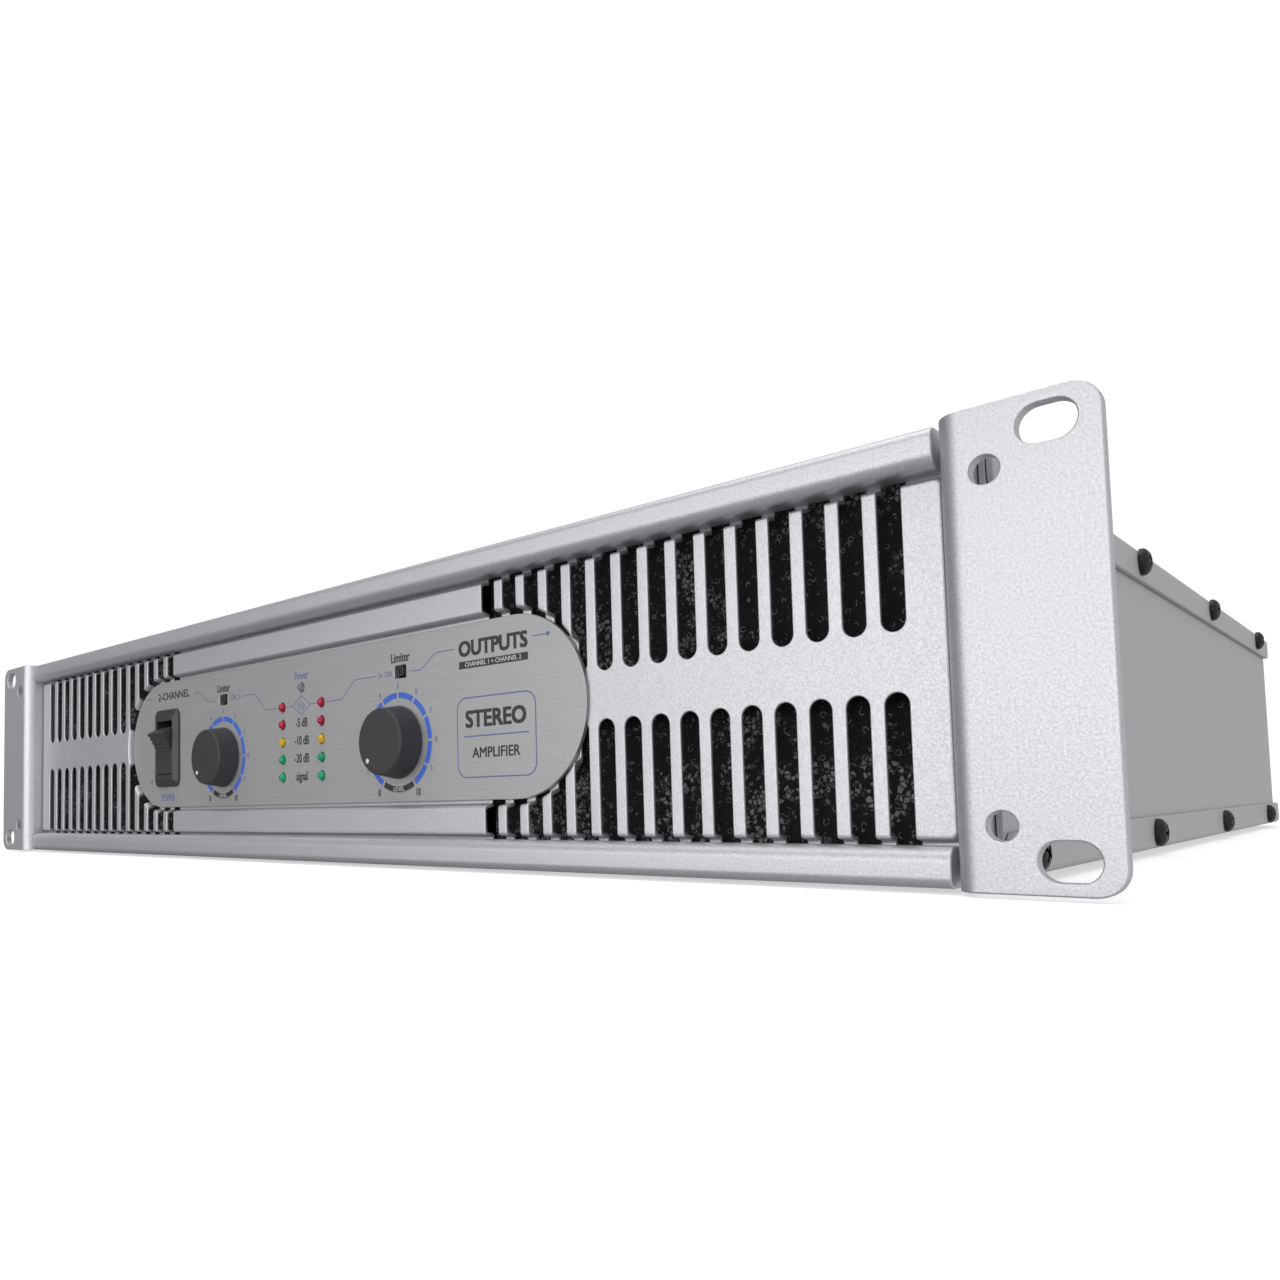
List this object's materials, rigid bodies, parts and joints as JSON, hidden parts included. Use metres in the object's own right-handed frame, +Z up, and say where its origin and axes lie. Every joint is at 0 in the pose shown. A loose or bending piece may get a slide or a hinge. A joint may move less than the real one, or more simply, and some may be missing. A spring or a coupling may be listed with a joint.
{
  "type": "rack power amplifier",
  "caption": "Flat rack-width power amplifier with a slotted front grille, a long round-ended control plate with rotary level knobs, a rocker switch and rack ears, and a grey sheet-metal case.",
  "frame": {"origin": "middle of the bounding box, at its bottom: the lower edge of the rack ears", "axes": "+Z up, +X to the right seen from the front, +Y from the front to the back"},
  "size_m": [0.4826, 0.398, 0.088],
  "materials": {
    "silver_paint": "fine metallic paint, satin",
    "brushed_plate": "brushed lengthways, clear coated",
    "filter_foam": "open-cell foam, matt",
    "grey_paint": "smooth grey paint, satin",
    "black_plastic": "fine moulded texture",
    "knob_plastic": "fine moulded texture",
    "plain_steel": "plated, plain",
    "clear_lens": "polished",
    "red_lens": "polished",
    "yellow_lens": "polished",
    "green_lens": "polished",
    "circuit_board": "solder mask",
    "winding_tape": "yellow polyester tape over copper",
    "pad_rubber": "plain",
    "bare_aluminium": "extruded, bare",
    "capacitor_sleeve": "shrunk sleeve"
  },
  "bodies": {
    "chassis": {"left_rack_ear": "silver_paint", "right_rack_ear": "silver_paint", "top_rail": "silver_paint", "bottom_rail": "silver_paint", "front_grille_panel": "silver_paint", "control_plate": "brushed_plate", "left_foam_filter": "filter_foam", "right_foam_filter": "filter_foam", "bottom_tray": "grey_paint", "top_cover": "grey_paint", "left_side_panel": "grey_paint", "right_side_panel": "grey_paint", "rear_panel": "grey_paint", "power_switch_housing": "black_plastic", "left_fan_frame": "black_plastic", "right_fan_frame": "black_plastic", "input_socket_1": "black_plastic", "input_socket_2": "black_plastic", "speaker_socket_1": "black_plastic", "speaker_socket_2": "black_plastic", "mains_inlet": "black_plastic", "circuit_breaker": "black_plastic", "left_output_transistors": "black_plastic", "right_output_transistors": "black_plastic", "level_pot_1": "plain_steel", "level_pot_2": "plain_steel", "limiter_switch_1": "plain_steel", "limiter_switch_2": "plain_steel", "mode_switch": "plain_steel", "transformer_clamp": "plain_steel", "transformer_bolt": "plain_steel", "power_led": "clear_lens", "red_leds": "red_lens", "yellow_leds": "yellow_lens", "green_leds": "green_lens", "front_circuit_board": "circuit_board", "left_amplifier_board": "circuit_board", "right_amplifier_board": "circuit_board", "power_supply_board": "circuit_board", "toroidal_transformer": "winding_tape", "transformer_pad": "pad_rubber", "left_heatsink": "bare_aluminium", "right_heatsink": "bare_aluminium", "filter_capacitor_1": "capacitor_sleeve", "filter_capacitor_2": "capacitor_sleeve", "filter_capacitor_3": "capacitor_sleeve", "filter_capacitor_4": "capacitor_sleeve"},
    "rocker": {"power_switch_rocker": "black_plastic"},
    "knob_1": {"level_knob_1": "knob_plastic", "level_shaft_1": "plain_steel"},
    "knob_2": {"level_knob_2": "knob_plastic", "level_shaft_2": "plain_steel"},
    "limiter_1": {"limiter_slider_1": "black_plastic"},
    "limiter_2": {"limiter_slider_2": "black_plastic"},
    "left_fan": {"left_fan_rotor": "black_plastic"},
    "right_fan": {"right_fan_rotor": "black_plastic"},
    "breaker": {"breaker_button": "black_plastic"},
    "mode": {"mode_slider": "black_plastic"},
    "latch_1": {"input_latch_1": "plain_steel"},
    "latch_2": {"input_latch_2": "plain_steel"}
  },
  "joints": [
    {"name": "power_rocker", "type": "hinge", "parent": "chassis", "child": "rocker", "pos_m": [-0.0927, -0.1852, 0.0422], "axis": [1, 0, 0], "range_deg": [-29, 0]},
    {"name": "level_1", "type": "hinge", "parent": "chassis", "child": "knob_1", "pos_m": [-0.0515, -0.1945, 0.0367], "axis": [0, 1, 0], "range_deg": [0, 270]},
    {"name": "level_2", "type": "hinge", "parent": "chassis", "child": "knob_2", "pos_m": [0.0485, -0.1945, 0.0367], "axis": [0, 1, 0], "range_deg": [0, 270]},
    {"name": "limiter_slide_1", "type": "slide", "parent": "chassis", "child": "limiter_1", "axis": [-1, 0, 0], "range_m": [0, 0.0022]},
    {"name": "limiter_slide_2", "type": "slide", "parent": "chassis", "child": "limiter_2", "axis": [-1, 0, 0], "range_m": [0, 0.0022]},
    {"name": "left_fan_spin", "type": "hinge", "parent": "chassis", "child": "left_fan", "pos_m": [-0.165, 0.1795, 0.0435], "axis": [0, 1, 0], "continuous": true},
    {"name": "right_fan_spin", "type": "hinge", "parent": "chassis", "child": "right_fan", "pos_m": [0.165, 0.1795, 0.0435], "axis": [0, 1, 0], "continuous": true},
    {"name": "breaker_trip", "type": "slide", "parent": "chassis", "child": "breaker", "axis": [0, 1, 0], "range_m": [0, 0.003]},
    {"name": "mode_slide", "type": "slide", "parent": "chassis", "child": "mode", "axis": [1, 0, 0], "range_m": [-0.0045, 0.0045]},
    {"name": "latch_press_1", "type": "slide", "parent": "chassis", "child": "latch_1", "axis": [0, -1, 0], "range_m": [0, 0.0012], "stiffness_N_per_m": 300},
    {"name": "latch_press_2", "type": "slide", "parent": "chassis", "child": "latch_2", "axis": [0, -1, 0], "range_m": [0, 0.0012], "stiffness_N_per_m": 300}
  ]
}
